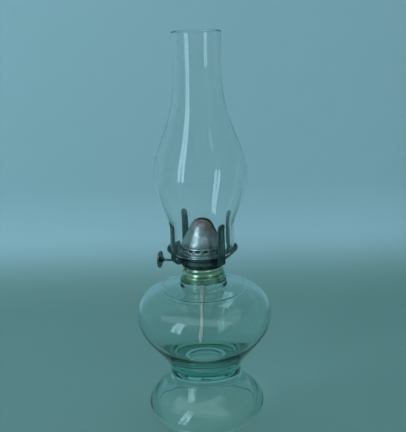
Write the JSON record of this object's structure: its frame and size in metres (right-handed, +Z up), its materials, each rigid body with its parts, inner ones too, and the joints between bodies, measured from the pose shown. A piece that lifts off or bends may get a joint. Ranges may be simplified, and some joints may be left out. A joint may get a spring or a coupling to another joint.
{
  "type": "kerosene table lamp",
  "caption": "Flat-wick kerosene table lamp with a glass font on a flared foot, threaded brass burner, wick raiser and clear glass chimney.",
  "frame": {"origin": "centre of the ring that the foot stands on", "axes": "+Z up the chimney; the wick's width and the raiser shaft lie along X, thumb wheel at -X"},
  "size_m": [0.1169, 0.1169, 0.33],
  "materials": {
    "clear_glass": "clear blown glass with a faint green tint",
    "lacquered_brass": "greenish gold lacquer, glossy",
    "dark_brass": "blackened and oily",
    "worn_brass": "tarnished",
    "dark_steel": "dark, greenish plating",
    "bright_steel": "plated, heat stained with brown rust",
    "black_rubber": "matte",
    "plaster": "plaster",
    "cotton": "woven cotton, oil soaked"
  },
  "bodies": {
    "font": {"font_glass": "clear_glass", "collar": "lacquered_brass", "collar_cement": "plaster"},
    "gasket": {"burner_gasket": "black_rubber"},
    "burner": {"screw_skirt": "dark_brass", "burner_cup": "dark_brass", "air_plate": "dark_brass", "wick_tube": "dark_brass", "shaft_bush_left": "worn_brass", "shaft_bush_right": "worn_brass", "chimney_holder": "dark_steel", "prong_front_right": "dark_steel", "prong_back_right": "dark_steel", "prong_back_left": "dark_steel", "prong_front_left": "dark_steel", "prong_rivets": "worn_brass"},
    "raiser": {"raiser_shaft": "dark_steel", "thumb_wheel": "dark_brass", "feed_wheel_1": "dark_steel", "feed_wheel_2": "dark_steel", "feed_wheel_3": "dark_steel", "feed_wheel_4": "dark_steel", "shaft_ring": "dark_steel"},
    "wick": {"wick": "cotton"},
    "deflector": {"deflector": "bright_steel"},
    "chimney": {"chimney": "clear_glass"}
  },
  "joints": [
    {"name": "burner_rise", "type": "slide", "parent": "font", "child": "gasket", "axis": [0, 0, 1], "range_m": [0, 0.0071]},
    {"name": "burner_unscrew", "type": "hinge", "parent": "gasket", "child": "burner", "pos_m": [0, 0, 0.1371], "axis": [0, 0, 1], "range_deg": [0, 600]},
    {"name": "wick_raiser", "type": "hinge", "parent": "burner", "child": "raiser", "pos_m": [0, -0.0056, 0.1405], "axis": [1, 0, 0], "range_deg": [-138, 82]},
    {"name": "wick_travel", "type": "slide", "parent": "burner", "child": "wick", "axis": [0, 0, 1], "range_m": [-0.0101, 0.006]},
    {"name": "deflector_lift", "type": "slide", "parent": "burner", "child": "deflector", "axis": [0, 0, 1], "range_m": [0, 0.032]},
    {"name": "chimney_lift", "type": "slide", "parent": "burner", "child": "chimney", "axis": [0, 0, 1], "range_m": [0, 0.06]}
  ],
  "couplings": [
    {"joint": "burner_rise", "follows": "burner_unscrew", "m_per_rad": 0.00066845},
    {"joint": "wick_travel", "follows": "wick_raiser", "m_per_rad": 0.00415}
  ]
}
